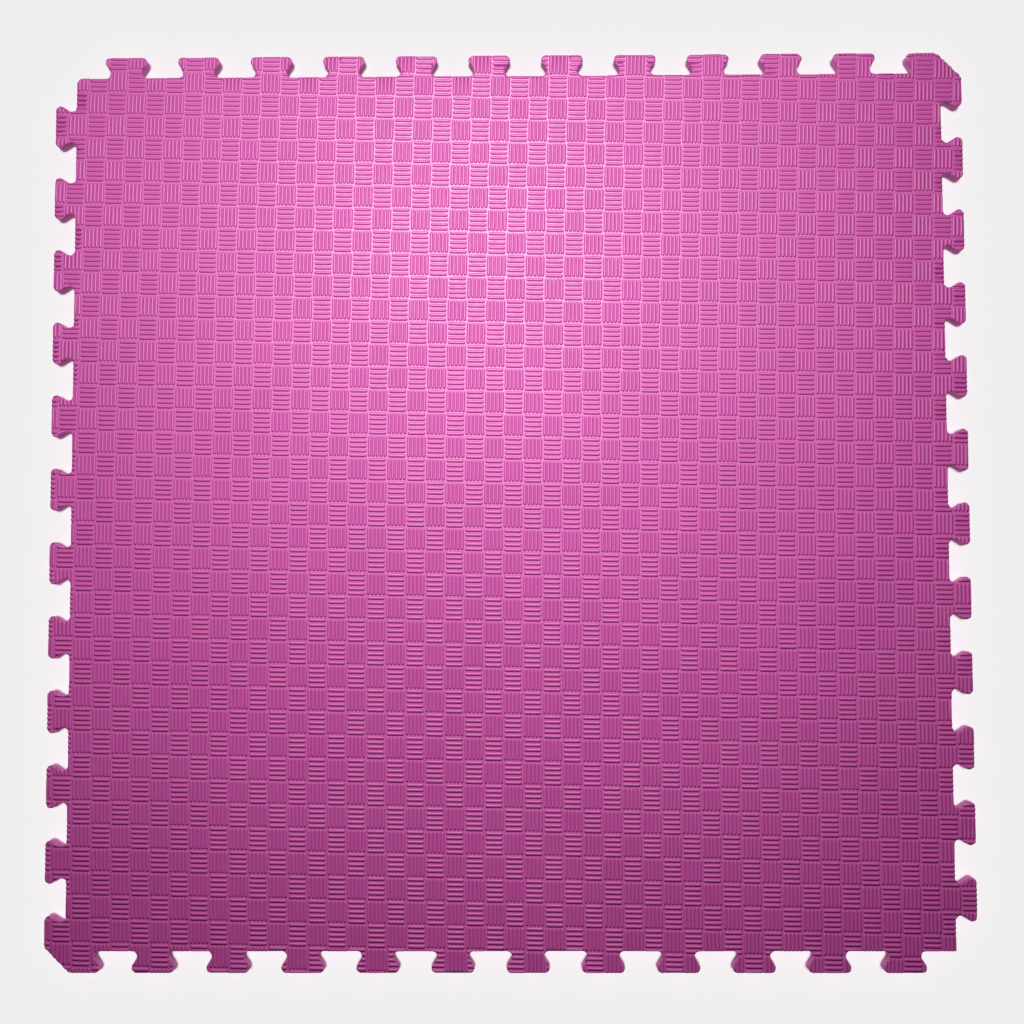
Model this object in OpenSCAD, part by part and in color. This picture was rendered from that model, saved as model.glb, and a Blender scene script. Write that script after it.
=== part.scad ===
// Interlocking foam floor tile: a square foam mat whose four edges are cut into flared teeth, so that
// equal tiles press together into a larger floor.
//
// Frame: the origin is at the middle of the underside, X and Y run along the edges and Z is up.
// The square inside the teeth's root lines is called the field. Two corners of the field are plain,
// and the other two (+X +Y and -X -Y) each carry a corner tooth that is shared by two edges.
//
// An embossed top skin lies on a foam body. The body is divided at the root lines into a square
// field, four rows of teeth and two corner teeth, so that each notch between teeth stays open.

/* [Tile] */
// Length of floor that one laid tile covers: the field and one row of teeth
module_side = 1000; // [980:1:1040]
// Whole thickness of the tile
thickness = 20; // [12:1:40]
// Thickness of the dense, embossed top skin
skin_t = 3; // [1:0.5:4]
// Radius of the plain corner at -X +Y
round_corner_r = 7; // [2:0.5:10]
// Radius of the plain corner at +X -Y
sharp_corner_r = 1.5; // [1:0.5:10]

/* [Teeth] */
// Whole teeth along each edge, without the corner tooth
teeth_per_edge = 11; // [7:1:11]
// How far a tooth stands out from its root line
tooth_depth = 23.5; // [22:0.5:26]
// How far a flank leans out on each side of its own middle
flank_lean = 3; // [2:0.5:4]
// Radius of a tooth's head corners and of its root fillets
tooth_r = 5.5; // [3:0.5:5.5]

/* [Corner teeth] */
// Distance from the field's corner back to the middle of a corner tooth's lobe
lobe_inset = 14.5; // [12:0.5:18]
// Room left at the slanted face, where the next tile's corner tooth meets it
slant_room = 3; // [1:0.5:5]
// Radius at the two ends of the slanted face
slant_r = 8; // [4:0.5:8]

/* [Hidden] */
$fn = 48;

skin_color = [0.80, 0.33, 0.66];
foam_color = [0.62, 0.30, 0.53];

body_t = thickness - skin_t;
field_side = module_side - tooth_depth;
field_half = field_side / 2;

// Teeth sit a quarter pitch off the middle, so that the opposite edge fills their notches
first_tooth = -(teeth_per_edge - 1) / 2 - 1 / 4;
corner_tooth = (teeth_per_edge - 1) / 2 + 3 / 4;
tooth_pitch = (field_half - lobe_inset) / corner_tooth;

// A tooth and a notch have the same shape, so the flank is mirrored about the point mid_flank
mid_flank = [tooth_pitch / 4, tooth_depth / 2];
head_half = mid_flank.x + flank_lean;
neck_half = mid_flank.x - flank_lean;
head_arc = [head_half - tooth_r, tooth_depth - tooth_r];
root_arc = [neck_half + tooth_r, tooth_r];

// The straight part of a flank is the inner tangent of the head arc and the root arc
arc_gap = norm(head_arc - root_arc) / 2;
flank_angle = asin(tooth_r / arc_gap) + atan2(head_arc.x - root_arc.x, head_arc.y - root_arc.y);
flank_run = sqrt(arc_gap * arc_gap - tooth_r * tooth_r);
flank_step = flank_run * [sin(flank_angle), cos(flank_angle)];

// The slanted face of a corner tooth, measured from the field's corner, and the arc at its end
slant_sum = tooth_depth - slant_room * sqrt(2);
slant_arc = [slant_sum - tooth_depth - slant_r * tan(22.5), tooth_depth - slant_r];
slant_arc_step = 45 / 6;
slant_arc_points = [
    for (a = [45 : slant_arc_step : 90]) slant_arc + slant_r * [cos(a), sin(a)]
];

// How far the shapes of one outline lap over each other where they join
lap = 1;

// Half of a tooth, from its middle line to its +X flank, standing on y = 0
module half_tooth_outline() {
    difference() {
        polygon([
            [-lap, 0],
            [root_arc.x, 0],
            mid_flank - flank_step,
            mid_flank + flank_step,
            head_arc,
            [head_arc.x, tooth_depth],
            [-lap, tooth_depth],
        ]);
        translate(root_arc) circle(r = tooth_r);
    }
    translate(head_arc) circle(r = tooth_r);
}

module tooth_outline() {
    half_tooth_outline();
    mirror([1, 0]) half_tooth_outline();
}

// A row of teeth on the +Y edge of the field
module row_outline() {
    for (i = [0 : teeth_per_edge - 1]) {
        translate([(first_tooth + i) * tooth_pitch, field_half]) tooth_outline();
    }
}

// The lobe of the +X +Y corner tooth that stands on the +Y edge, measured from the field's corner
module lobe_outline() {
    translate([-lobe_inset, 0]) mirror([1, 0]) half_tooth_outline();
}

// The +X +Y corner tooth: an elbow around the field's corner, with a lobe at each end
module corner_outline() {
    last = len(slant_arc_points) - 1;
    turned_points = [
        for (i = [last : -1 : 0]) [slant_arc_points[i].y, slant_arc_points[i].x]
    ];
    translate([field_half, field_half]) {
        polygon(concat(
            [[0, 0], [0, -lobe_inset], [tooth_depth, -lobe_inset]],
            turned_points,
            slant_arc_points,
            [[-lobe_inset, tooth_depth], [-lobe_inset, 0]]
        ));
        lobe_outline();
        mirror([1, -1]) lobe_outline();
    }
}

// The +X +Y quarter of the field, with its outer corner rounded to radius r
module rounded_quarter(r) {
    difference() {
        square(field_half);
        translate([field_half - r, field_half - r]) square(r);
    }
    translate([field_half - r, field_half - r]) circle(r = r);
}

module field_outline() {
    square(field_half);
    rotate(180) square(field_half);
    rotate(90) rounded_quarter(round_corner_r);
    rotate(-90) rounded_quarter(sharp_corner_r);
}

module whole_outline() {
    field_outline();
    corner_outline();
    rotate(180) corner_outline();
    row_outline();
    rotate(180) row_outline();
    mirror([1, -1]) {
        row_outline();
        rotate(180) row_outline();
    }
}

module top_skin() {
    color(skin_color) translate([0, 0, body_t]) linear_extrude(skin_t) whole_outline();
}

module body_field() {
    color(foam_color) linear_extrude(body_t) field_outline();
}

module north_teeth() {
    color(foam_color) linear_extrude(body_t) row_outline();
}

module east_teeth() {
    color(foam_color) linear_extrude(body_t) mirror([1, -1]) row_outline();
}

module south_teeth() {
    color(foam_color) linear_extrude(body_t) rotate(180) row_outline();
}

module west_teeth() {
    color(foam_color) linear_extrude(body_t) rotate(180) mirror([1, -1]) row_outline();
}

module north_east_corner_tooth() {
    color(foam_color) linear_extrude(body_t) corner_outline();
}

module south_west_corner_tooth() {
    color(foam_color) linear_extrude(body_t) rotate(180) corner_outline();
}

top_skin();
body_field();
north_teeth();
east_teeth();
south_teeth();
west_teeth();
north_east_corner_tooth();
south_west_corner_tooth();
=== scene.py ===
import math

import bpy
import numpy as np
from mathutils.geometry import delaunay_2d_cdt
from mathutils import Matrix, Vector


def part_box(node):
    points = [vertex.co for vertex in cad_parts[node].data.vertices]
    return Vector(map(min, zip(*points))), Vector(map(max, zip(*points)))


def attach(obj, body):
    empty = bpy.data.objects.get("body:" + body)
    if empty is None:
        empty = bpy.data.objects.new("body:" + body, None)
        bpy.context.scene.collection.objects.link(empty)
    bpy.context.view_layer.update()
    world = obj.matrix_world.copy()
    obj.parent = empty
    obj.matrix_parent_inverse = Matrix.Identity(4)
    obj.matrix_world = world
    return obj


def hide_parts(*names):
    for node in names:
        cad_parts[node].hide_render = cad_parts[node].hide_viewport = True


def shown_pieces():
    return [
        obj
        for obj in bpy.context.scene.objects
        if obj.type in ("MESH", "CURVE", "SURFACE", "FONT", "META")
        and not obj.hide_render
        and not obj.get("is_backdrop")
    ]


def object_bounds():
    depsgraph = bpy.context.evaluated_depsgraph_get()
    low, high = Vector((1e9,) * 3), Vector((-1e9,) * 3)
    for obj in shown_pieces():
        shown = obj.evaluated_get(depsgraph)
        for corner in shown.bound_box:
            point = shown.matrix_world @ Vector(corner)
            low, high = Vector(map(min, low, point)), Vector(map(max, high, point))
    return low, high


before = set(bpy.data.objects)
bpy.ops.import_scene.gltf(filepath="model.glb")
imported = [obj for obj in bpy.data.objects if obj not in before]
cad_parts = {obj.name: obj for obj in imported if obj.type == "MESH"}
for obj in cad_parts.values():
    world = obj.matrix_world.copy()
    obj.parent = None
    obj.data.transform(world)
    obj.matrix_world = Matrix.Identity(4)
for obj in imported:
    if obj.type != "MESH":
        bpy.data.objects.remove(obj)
cad_low, cad_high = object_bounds()

# An interlocking foam floor tile, as a photograph from almost straight above shows it. The top skin
# carries an embossed basket weave of small rounded bars, and the body has die-cut foam walls.
# Shapes are worked out in millimetres on the tile's own X and Y and turned into metres at the end.

MM = 0.001
TOP = cad_high.z / MM
SKIN_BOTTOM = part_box("top_skin")[0].z / MM
UNDERSIDE = cad_low.z / MM
TINY = 1e-9
FIELD = (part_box("body_field")[1].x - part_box("body_field")[0].x) / MM

# The weave: upright blocks hold bars along Y, and lying blocks hold bars along X
BLOCKS_ACROSS = 45
BLOCKS_DEEP = 38
BLOCK = np.array([FIELD / BLOCKS_ACROSS, FIELD / BLOCKS_DEEP])
BLOCK_CORNERS = BLOCK / 2 * np.array([[-1, -1], [1, -1], [1, 1], [-1, 1]])
BARS = 5
BAR_HEIGHT = 1.9
UPRIGHT_PITCH, UPRIGHT_WIDTH, UPRIGHT_LENGTH = 4.3, 3.95, BLOCK[1] - 2.1
LYING_PITCH, LYING_WIDTH, LYING_LENGTH = 5.27, 3.8, BLOCK[0] - 2.2
VALLEY = TOP - BAR_HEIGHT

# The tile was cut a little out of square with its weave, and the weave's rows bow slightly
WEAVE_SHIFT = np.array([-5.2, 11.8])
WEAVE_TURN = 0.0131
WEAVE_SKEW = 0.0053
WEAVE_BOW = 5.2

# A bar's section from its foot to its ridge: share of its half width, height, and slope
BAR_SHARE = np.array([0.0, 0.22, 0.52, 1.0])
BAR_LIFT = np.array([0.0, 0.66, 0.90, 1.0]) * BAR_HEIGHT
BAR_SLOPE = np.tan(np.radians([76, 60, 26, 0]))
END_STEPS = 4

# The cut rim's section from the outline in: distance in, how far it has rolled down, and slope
RIM_INSET = np.array([0.0, 0.35, 1.1, 2.2])
RIM_DROP = np.array([1.05, 0.52, 0.15, 0.0])
RIM_SLOPE = np.tan(np.radians([70, 48, 20, 0]))

# The body's cut wall from the underside up: share of its height, how far in it lies, and its lean
WALL_SHARE = [0.0, 0.02, 0.06, 0.3, 0.55, 0.8, 0.95, 1.0]
WALL_HOLLOW = [0.9, 0.35, 0.0, 0.2, 0.28, 0.18, 0.02, 0.0]
WALL_LEAN = [-2.0, -0.9, -0.1, -0.03, 0.0, 0.03, 0.03, 0.0]

# The skin's texture map: its margin, how the surface is scaled and lifted, and the strip of its wall
MAP_MARGIN = 0.01
MAP_TOP_SCALE, MAP_TOP_LIFT = 0.94, 0.05
MAP_WALL_TOP, MAP_WALL_FOOT = 0.04, 0.04 - 0.008
MAP_UNDER_SCALE, MAP_UNDER_LIFT = 0.02, 0.005


def weave_from_tile(points):
    """Where points of the tile lie in the weave, whose blocks stand in straight rows and columns."""
    x, y = points[:, 0], points[:, 1]
    bow = WEAVE_BOW * (y / (FIELD / 2)) ** 2
    u = x + WEAVE_SHIFT[0] - (WEAVE_TURN - WEAVE_SKEW) * y - bow
    v = y + WEAVE_SHIFT[1] + (WEAVE_TURN + WEAVE_SKEW) * x
    return np.column_stack([u, v])


def tile_from_weave(points):
    """The inverse of weave_from_tile, found in a few rounds because the two differ only a little."""
    found = points.copy()
    for _ in range(8):
        found += points - weave_from_tile(found)
    return found


def bar_spines(upright):
    """The two end centres of each bar of a block from the block's middle, and half its width."""
    pitch, width, length = LYING_PITCH, LYING_WIDTH, LYING_LENGTH
    if upright:
        pitch, width, length = UPRIGHT_PITCH, UPRIGHT_WIDTH, UPRIGHT_LENGTH
    spines = []
    for k in range(BARS):
        across = (k - (BARS - 1) / 2) * pitch
        ends = np.array([[(width - length) / 2, across], [(length - width) / 2, across]])
        spines.append(ends[:, ::-1] if upright else ends)
    return spines, width / 2


def bar_ring(spine, radius):
    """The points of a bar's rounded outline at a distance from its spine."""
    if radius < 1e-6:
        return spine
    along = math.atan2(spine[1][1] - spine[0][1], spine[1][0] - spine[0][0])
    turns = along + np.linspace(-math.pi / 2, math.pi / 2, END_STEPS + 1)
    half = radius * np.column_stack([np.cos(turns), np.sin(turns)])
    return np.vstack([spine[1] + half, spine[0] - half])


def ring_edges(first, count):
    return [(first + k, first + (k + 1) % count) for k in range(count)]


def block_parts(upright):
    """The points of a block from its middle, and its constraint edges. The four corners come first."""
    points = list(BLOCK_CORNERS)
    edges = ring_edges(0, 4)
    spines, half_width = bar_spines(upright)
    for spine in spines:
        for share in BAR_SHARE:
            ring = bar_ring(spine, half_width * (1 - share))
            edges += ring_edges(len(points), len(ring))
            points += list(ring)
    return np.array(points), edges


def triangulate(points, edges, faces):
    """Constrained Delaunay triangles, with the input faces that each triangle lies in."""
    found = delaunay_2d_cdt([tuple(p) for p in points], edges, faces, 0, 1e-5, True)
    places = np.array([tuple(p) for p in found[0]], float)
    for k, origins in enumerate(found[3]):
        if origins:
            places[k] = points[origins[0]]
    return places, np.array(found[2]), found[5]


def outline_of(node, level):
    """The counterclockwise outline of a flat-topped CAD solid at a height."""
    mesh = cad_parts[node].data
    numbers = {}
    names = [
        numbers.setdefault(tuple(round(c / MM, 4) for c in vertex.co), len(numbers))
        for vertex in mesh.vertices
    ]
    edges = set()
    for face in mesh.polygons:
        if face.normal.z > 0.9 and abs(face.center.z / MM - level) < 0.01:
            ring = [names[k] for k in face.vertices]
            for a, b in zip(ring, ring[1:] + ring[:1]):
                if (b, a) in edges:
                    edges.remove((b, a))
                else:
                    edges.add((a, b))
    places = np.array([key[:2] for key in numbers])
    return places[chain(edges)]


def chain(edges):
    """The closed loop that directed edges make."""
    follows = dict(edges)
    loop = [min(follows)]
    while follows[loop[-1]] != loop[0]:
        loop.append(follows[loop[-1]])
    return loop


def inward(loop):
    """The unit direction into a counterclockwise loop at each point, longer where the loop turns."""
    run = np.roll(loop, -1, axis=0) - loop
    run /= np.linalg.norm(run, axis=1)[:, None]
    left = np.column_stack([-run[:, 1], run[:, 0]])
    both = left + np.roll(left, 1, axis=0)
    return both * 2 / np.maximum((both**2).sum(1), 1.0)[:, None]


def is_inside(point, loop):
    """Whether a point lies inside a closed loop."""
    after = np.roll(loop, -1, axis=0)
    crosses = (loop[:, 1] > point[1]) != (after[:, 1] > point[1])
    a, b = loop[crosses], after[crosses]
    right = a[:, 0] + (point[1] - a[:, 1]) * (b[:, 0] - a[:, 0]) / (b[:, 1] - a[:, 1]) > point[0]
    return right.sum() % 2 == 1


def rim_place(points):
    """The distance of each point from the outline, and the direction out to it."""
    starts = outline
    runs = np.roll(outline, -1, axis=0) - outline
    lengths = (runs**2).sum(1)
    distance, direction = np.empty(len(points)), np.empty((len(points), 2))
    for first in range(0, len(points), 400):
        part = points[first : first + 400, None] - starts
        share = np.clip((part * runs).sum(2) / lengths, 0, 1)
        offset = share[:, :, None] * runs - part
        gap = (offset**2).sum(2)
        nearest = gap.argmin(1)
        rows = np.arange(len(nearest))
        distance[first : first + 400] = np.sqrt(gap[rows, nearest])
        direction[first : first + 400] = offset[rows, nearest]
    return distance, direction / np.maximum(distance, TINY)[:, None]


def emboss(points):
    """The height and the downhill slope that the weave gives the skin at points of the tile."""
    weave = weave_from_tile(points)
    block = np.round(weave / BLOCK)
    local = weave - block * BLOCK
    lift, slope = np.zeros(len(points)), np.zeros((len(points), 2))
    for upright in (True, False):
        mine = (block.sum(1) % 2 == 0) == upright
        spines, half_width = bar_spines(upright)
        for spine in spines:
            run = spine[1] - spine[0]
            share = np.clip((local - spine[0]) @ run / (run @ run), 0, 1)
            offset = local - spine[0] - share[:, None] * run
            distance = np.linalg.norm(offset, axis=1)
            inset = 1 - distance / half_width
            on = mine & (inset > -1e-3)
            lift[on] = np.interp(inset[on], BAR_SHARE, BAR_LIFT)
            steep = np.interp(inset[on], BAR_SHARE, BAR_SLOPE)
            slope[on] = (steep / np.maximum(distance[on], TINY))[:, None] * offset[on]
    return lift, slope


def upward(tilt):
    """Unit normals of a surface that runs downhill by tilt."""
    normals = np.column_stack([tilt, np.ones(len(tilt))])
    return normals / np.linalg.norm(normals, axis=1)[:, None]


def weld(points, triangles):
    """Points at the same place become one, and triangles without area go."""
    _, first, back = np.unique(np.round(points, 3), axis=0, return_index=True, return_inverse=True)
    triangles = back.reshape(-1)[triangles]
    a, b, c = triangles.T
    return points[first], first, triangles, (a != b) & (b != c) & (c != a)


def make_piece(name, points, faces, normals):
    """A mesh from points in millimetres, with a normal for each face corner."""
    mesh = bpy.data.meshes.new(name)
    mesh.from_pydata((points * MM).tolist(), [], faces)
    mesh.polygons.foreach_set("use_smooth", np.full(len(faces), True))
    mesh.normals_split_custom_set(normals.tolist())
    piece = bpy.data.objects.new(name, mesh)
    bpy.context.scene.collection.objects.link(piece)
    return piece


# The outline and the rim's rings, from the CAD skin
outline = outline_of("top_skin", TOP)
into = inward(outline)
loops = [outline + inset * into for inset in RIM_INSET]

# Every block of the weave that touches the tile, sorted into blocks at the edge and whole ones
farthest = cad_high.x / MM + BLOCK.max()
half_count = np.ceil(farthest / BLOCK).astype(int) + 1
blocks = [
    (column, row)
    for column in range(-half_count[0], half_count[0] + 1)
    for row in range(-half_count[1], half_count[1] + 1)
]
middles = np.array(blocks) * BLOCK
segment_low = np.vstack([np.minimum(loop, np.roll(loop, -1, axis=0)) for loop in loops])
segment_high = np.vstack([np.maximum(loop, np.roll(loop, -1, axis=0)) for loop in loops])
at_edge, whole = [], []
for block, middle in zip(blocks, middles):
    corners = tile_from_weave(middle + BLOCK_CORNERS)
    low, high = corners.min(0), corners.max(0)
    if ((segment_low <= high) & (segment_high >= low)).all(1).any():
        at_edge.append(block)
    elif is_inside(corners.mean(0), outline):
        whole.append(block)

# Blocks at the edge are triangulated together with the outline
points, edges, faces = [], [], []
count = 0
for block in at_edge:
    local, block_edges = block_parts(sum(block) % 2 == 0)
    points.append(tile_from_weave(local + np.array(block) * BLOCK))
    edges += [(a + count, b + count) for a, b in block_edges]
    faces.append([count, count + 1, count + 2, count + 3])
    count += len(local)
for k, loop in enumerate(loops):
    points.append(loop)
    if k == 0:
        faces.append(list(range(count, count + len(loop))))
    edges += ring_edges(count, len(loop))
    count += len(loop)
edge_points, edge_triangles, inside = triangulate(np.vstack(points), edges, faces)
tile_face = len(at_edge)
kept = [
    (k, min(found)) for k, found in enumerate(inside) if tile_face in found and len(found) > 1
]
edge_triangles = edge_triangles[[k for k, _ in kept]]
edge_blocks = np.array([at_edge[found] for _, found in kept])

# Whole blocks repeat one upright and one lying pattern
all_points, all_triangles, all_blocks = [edge_points], [edge_triangles], [edge_blocks]
count = len(edge_points)
for upright in (True, False):
    local, block_edges = block_parts(upright)
    local, pattern, _ = triangulate(local, block_edges, [])
    mine = np.array([block for block in whole if (sum(block) % 2 == 0) == upright])
    spread = (mine[:, None] * BLOCK + local).reshape(-1, 2)
    all_points.append(tile_from_weave(spread))
    offsets = count + len(local) * np.arange(len(mine))
    all_triangles.append((pattern + offsets[:, None, None]).reshape(-1, 3))
    all_blocks.append(np.repeat(mine, len(pattern), axis=0))
    count += len(spread)
flat, origin, triangles, real = weld(np.vstack(all_points), np.vstack(all_triangles))
triangles, triangle_blocks = triangles[real], np.vstack(all_blocks)[real]

# Heights and normals of the whole embossed surface
lift, slope = emboss(flat)
near = np.abs(weave_from_tile(flat)).max(1) > FIELD / 2 - 3 * BLOCK.max()
distance = np.full(len(flat), FIELD)
direction = np.zeros((len(flat), 2))
distance[near], direction[near] = rim_place(flat[near])
height = VALLEY + lift - np.interp(distance, RIM_INSET, RIM_DROP)
rim_slope = np.interp(distance, RIM_INSET, RIM_SLOPE)
rim_tilt = rim_slope[:, None] * direction

# A bar meets the valley at a crease, so a point at its foot has one normal on each side. On the
# outline itself the direction out isn't sound, and some normals on the rim point against their face
bar_normals = upward(slope + rim_tilt)
valley_normals = upward(rim_tilt)


def sheet_panel(name, triangles):
    """A closed part of the skin: its embossed surface, its walls and its flat bottom."""
    used, top = np.unique(triangles, return_inverse=True)
    top = top.reshape(-1, 3)
    sides = np.vstack([top[:, [0, 1]], top[:, [1, 2]], top[:, [2, 0]]])
    code, reverse = sides @ [len(used), 1], sides @ [1, len(used)]
    rim = chain([tuple(side) for side in sides[~np.isin(code, reverse)].tolist()])
    rim_flat = flat[used[rim]]
    places, under, inside = triangulate(rim_flat, ring_edges(0, len(rim)), [list(range(len(rim)))])
    under = under[[k for k, found in enumerate(inside) if found]] + len(used)
    points = np.vstack([
        np.column_stack([flat[used], height[used]]),
        np.column_stack([places, np.full(len(places), SKIN_BOTTOM)]),
    ])
    following = np.roll(np.arange(len(rim)), -1)
    rim = np.array(rim)
    foot = np.arange(len(rim)) + len(used)
    walls = np.column_stack([rim, foot, foot[following], rim[following]])
    out = -inward(rim_flat)
    out = np.column_stack([out / np.linalg.norm(out, axis=1)[:, None], np.zeros(len(rim))])
    wall_normals = np.stack([out, out, out[following], out[following]], axis=1)
    in_valley = lift[used[top]].max(1) < 1e-6
    top_normals = np.where(
        in_valley[:, None, None], valley_normals[used[top]], bar_normals[used[top]]
    )
    normals = np.vstack([
        top_normals.reshape(-1, 3),
        wall_normals.reshape(-1, 3),
        np.tile([0.0, 0.0, -1.0], (3 * len(under), 1)),
    ])
    piece = make_piece(name, points, top.tolist() + walls.tolist() + under[:, ::-1].tolist(), normals)

    # The texture map: the surface from above, and the wall and the hidden bottom in strips below it
    low, span = rim_flat.min(0), np.ptp(rim_flat, axis=0).max() * 1.02
    walked = np.linalg.norm(rim_flat[following] - rim_flat, axis=1)
    ends = np.cumsum(walked) / walked.sum()
    starts = ends - walked / walked.sum()
    head, foot_line = np.full(len(rim), MAP_WALL_TOP), np.full(len(rim), MAP_WALL_FOOT)
    wall_map = np.stack([
        np.column_stack([starts, head]),
        np.column_stack([starts, foot_line]),
        np.column_stack([ends, foot_line]),
        np.column_stack([ends, head]),
    ], axis=1)
    place_map = (points[:, :2] - low) / span
    corner_map = np.vstack([
        (place_map[top] * MAP_TOP_SCALE + [MAP_MARGIN, MAP_TOP_LIFT]).reshape(-1, 2),
        wall_map.reshape(-1, 2) * [1 - 2 * MAP_MARGIN, 1.0] + [MAP_MARGIN, 0.0],
        (place_map[under[:, ::-1]] * MAP_UNDER_SCALE + [MAP_MARGIN, MAP_UNDER_LIFT]).reshape(-1, 2),
    ])
    layer = piece.data.uv_layers.new(name="OFBake")
    layer.data.foreach_set("uv", corner_map.astype(np.float32).ravel())
    cut_faces = np.zeros(len(piece.data.polygons), np.int32)
    cut_faces[len(top) :] = 1
    piece.data.polygons.foreach_set("material_index", cut_faces)
    return piece


def foam_body(name):
    """The body: walls that hollow in slightly where the die has cut them, and a flat underside."""
    depth = SKIN_BOTTOM - UNDERSIDE
    walked = np.cumsum(np.linalg.norm(np.roll(outline, -1, axis=0) - outline, axis=1))
    rings, normals = [], []
    out = -into / np.linalg.norm(into, axis=1)[:, None]
    # Two faint waves run along the cut, together up to 0.11 mm deep
    for level, inset, lean in zip(WALL_SHARE, WALL_HOLLOW, WALL_LEAN):
        ripple = 0.05 * np.sin(walked / 2.3 + 9 * level) + 0.06 * np.sin(walked / 7.9 - 14 * level)
        ripple *= math.sin(math.pi * level) ** 0.5
        place = outline + (inset + ripple)[:, None] * into
        rings.append(np.column_stack([place, np.full(len(place), UNDERSIDE + level * depth)]))
        normals.append(np.column_stack([out, np.full(len(place), lean)]))
    count = len(outline)
    normals = np.stack(normals) / np.linalg.norm(np.stack(normals), axis=2)[:, :, None]
    here = np.arange(count)
    after = np.roll(here, -1)
    walls, wall_normals = [], []
    for k in range(len(rings) - 1):
        low, high = k * count, (k + 1) * count
        walls.append(np.column_stack([low + here, low + after, high + after, high + here]))
        ring, above = normals[k], normals[k + 1]
        wall_normals.append(np.stack([ring[here], ring[after], above[after], above[here]], axis=1))
    walls = np.vstack(walls)
    _, cover, inside = triangulate(outline, ring_edges(0, count), [list(range(count))])
    cover = cover[[k for k, found in enumerate(inside) if found]]
    lid = cover + (len(rings) - 1) * count
    flat_faces = cover[:, ::-1].tolist() + lid.tolist()
    corner_normals = np.vstack([
        np.vstack(wall_normals).reshape(-1, 3),
        np.tile([0.0, 0.0, -1.0], (3 * len(cover), 1)),
        np.tile([0.0, 0.0, 1.0], (3 * len(cover), 1)),
    ])
    piece = make_piece(name, np.vstack(rings), walls.tolist() + flat_faces, corner_normals)
    under_faces = np.zeros(len(piece.data.polygons), np.int32)
    under_faces[len(walls) : len(walls) + len(cover)] = 1
    piece.data.polygons.foreach_set("material_index", under_faces)
    return piece


def foam_material(name, light, dark, roughness, grain, grain_depth):
    """Closed-cell foam: mottled colour, uneven gloss, and a fine grain of cells."""
    material = bpy.data.materials.new(name)
    material.use_nodes = True
    nodes, links = material.node_tree.nodes, material.node_tree.links
    shader = nodes["Principled BSDF"]
    place = nodes.new("ShaderNodeTexCoord").outputs["Object"]

    def noise(scale, detail=2.0):
        node = nodes.new("ShaderNodeTexNoise")
        node.inputs["Scale"].default_value = scale
        node.inputs["Detail"].default_value = detail
        links.new(place, node.inputs["Vector"])
        return node.outputs["Fac"]

    def spread(value, low, high):
        node = nodes.new("ShaderNodeMapRange")
        node.inputs["From Min"].default_value = 0.3
        node.inputs["From Max"].default_value = 0.7
        node.inputs["To Min"].default_value = low
        node.inputs["To Max"].default_value = high
        links.new(value, node.inputs["Value"])
        return node.outputs["Result"]

    both = nodes.new("ShaderNodeMath")
    both.operation = "ADD"
    links.new(spread(noise(9.0), 0.0, 0.5), both.inputs[0])
    links.new(spread(noise(260.0, 3.0), 0.0, 0.5), both.inputs[1])
    colour = nodes.new("ShaderNodeMix")
    colour.data_type = "RGBA"
    colour.inputs["A"].default_value = (*dark, 1)
    colour.inputs["B"].default_value = (*light, 1)
    links.new(both.outputs[0], colour.inputs["Factor"])
    links.new(colour.outputs["Result"], shader.inputs["Base Color"])
    links.new(spread(noise(150.0), roughness - 0.04, roughness + 0.05), shader.inputs["Roughness"])

    cells = nodes.new("ShaderNodeTexVoronoi")
    cells.feature = "SMOOTH_F1"
    cells.inputs["Scale"].default_value = 1 / grain
    links.new(place, cells.inputs["Vector"])
    bump = nodes.new("ShaderNodeBump")
    bump.inputs["Strength"].default_value = 0.6
    bump.inputs["Distance"].default_value = grain_depth
    links.new(cells.outputs["Distance"], bump.inputs["Height"])
    links.new(bump.outputs["Normal"], shader.inputs["Normal"])
    return material


# The materials, with the size of the foam's cells and their depth in metres
skin_foam = foam_material(
    "skin_foam", light=(0.66, 0.098, 0.43), dark=(0.60, 0.083, 0.39),
    roughness=0.50, grain=0.0007, grain_depth=0.00004,
)
skin_foam.node_tree.nodes["Principled BSDF"].inputs["Specular IOR Level"].default_value = 0.9
cut_foam = foam_material(
    "cut_foam", light=(0.60, 0.13, 0.42), dark=(0.50, 0.10, 0.35),
    roughness=0.75, grain=0.0005, grain_depth=0.00012,
)
under_foam = foam_material(
    "under_foam", light=(0.64, 0.10, 0.42), dark=(0.58, 0.08, 0.37),
    roughness=0.55, grain=0.0011, grain_depth=0.00006,
)

# The pieces. The real tile is one piece of foam: its skin is a layer of its own here, in quarters
# that meet along the weave's valleys

for part, east, north in (("sw", 0, 0), ("se", 1, 0), ("nw", 0, 1), ("ne", 1, 1)):
    mine = ((triangle_blocks >= 0) == [bool(east), bool(north)]).all(1)
    panel = sheet_panel("top_skin_" + part, triangles[mine])
    panel.data.materials.append(skin_foam)
    panel.data.materials.append(cut_foam)
    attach(panel, "root")
    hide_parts("top_skin")

body = foam_body("foam_body")
body.data.materials.append(cut_foam)
body.data.materials.append(under_foam)
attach(body, "root")
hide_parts(*[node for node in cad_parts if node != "top_skin"])

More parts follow.
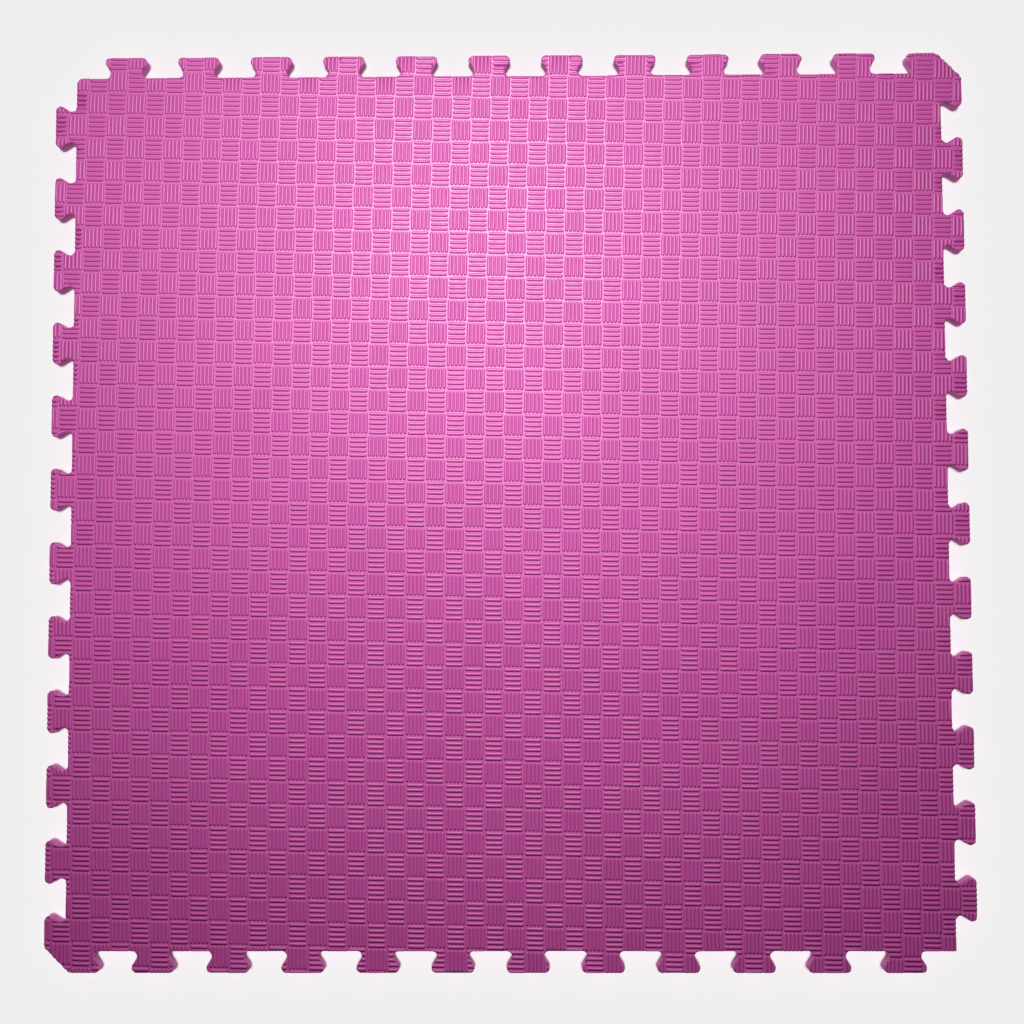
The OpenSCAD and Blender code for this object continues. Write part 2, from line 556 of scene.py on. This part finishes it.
# The floor
bpy.ops.mesh.primitive_plane_add(size=14, location=(0, 0, cad_low.z))
floor = bpy.context.object
floor.name = "floor"
paper = bpy.data.materials.new("paper")
paper.use_nodes = True
paper.node_tree.nodes["Principled BSDF"].inputs["Base Color"].default_value = (0.85, 0.85, 0.85, 1)
paper.node_tree.nodes["Principled BSDF"].inputs["Roughness"].default_value = 0.9
floor.data.materials.append(paper)
floor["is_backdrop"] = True


def softbox(name, place, aim, size, spread, power, lit):
    """A square light that lights only the objects in one collection."""
    light = bpy.data.lights.new(name, "AREA")
    light.shape = "SQUARE"
    light.size = size
    light.spread = math.radians(spread)
    light.energy = power
    lamp = bpy.data.objects.new(name, light)
    lamp.location = place
    to = np.array(aim) - np.array(place)
    lamp.rotation_euler = (
        math.atan2(math.hypot(to[0], to[1]), -to[2]),
        0,
        math.atan2(to[1], to[0]) - math.pi / 2,
    )
    bpy.context.scene.collection.objects.link(lamp)
    lamp.light_linking.receiver_collection = lit


# One soft light above the tile, past its +Y edge, and a sun straight above that lights only the floor
tile_lit = bpy.data.collections.new("tile_lit")
floor_lit = bpy.data.collections.new("floor_lit")
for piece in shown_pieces():
    tile_lit.objects.link(piece)
floor_lit.objects.link(floor)
softbox(
    "key", place=(-0.08, 0.65, 1.25), aim=(-0.01, 0.06, 0),
    size=0.2, spread=116, power=9.4, lit=tile_lit,
)
sun = bpy.data.lights.new("floor_light", "SUN")
sun.energy = 3.18
sun.angle = math.radians(15)
overhead = bpy.data.objects.new("floor_light", sun)
bpy.context.scene.collection.objects.link(overhead)
overhead.light_linking.receiver_collection = floor_lit
world = bpy.data.worlds.new("studio")
world.use_nodes = True
world.node_tree.nodes["Background"].inputs["Color"].default_value = (0.86, 0.86, 0.86, 1)
world.cycles_visibility.diffuse = False
world.cycles_visibility.glossy = False
bpy.context.scene.world = world

# The camera, almost straight above the tile
camera = bpy.data.cameras.new("camera")
camera.lens = 59.77
camera.sensor_width = 36
eye = bpy.data.objects.new("camera", camera)
eye.location = (0.0272, -0.1252, 1.9069)
eye.rotation_euler = (0.06293, 0.01241, -0.00235)
bpy.context.scene.collection.objects.link(eye)
bpy.context.scene.camera = eye
bpy.context.scene.view_settings.view_transform = "Standard"
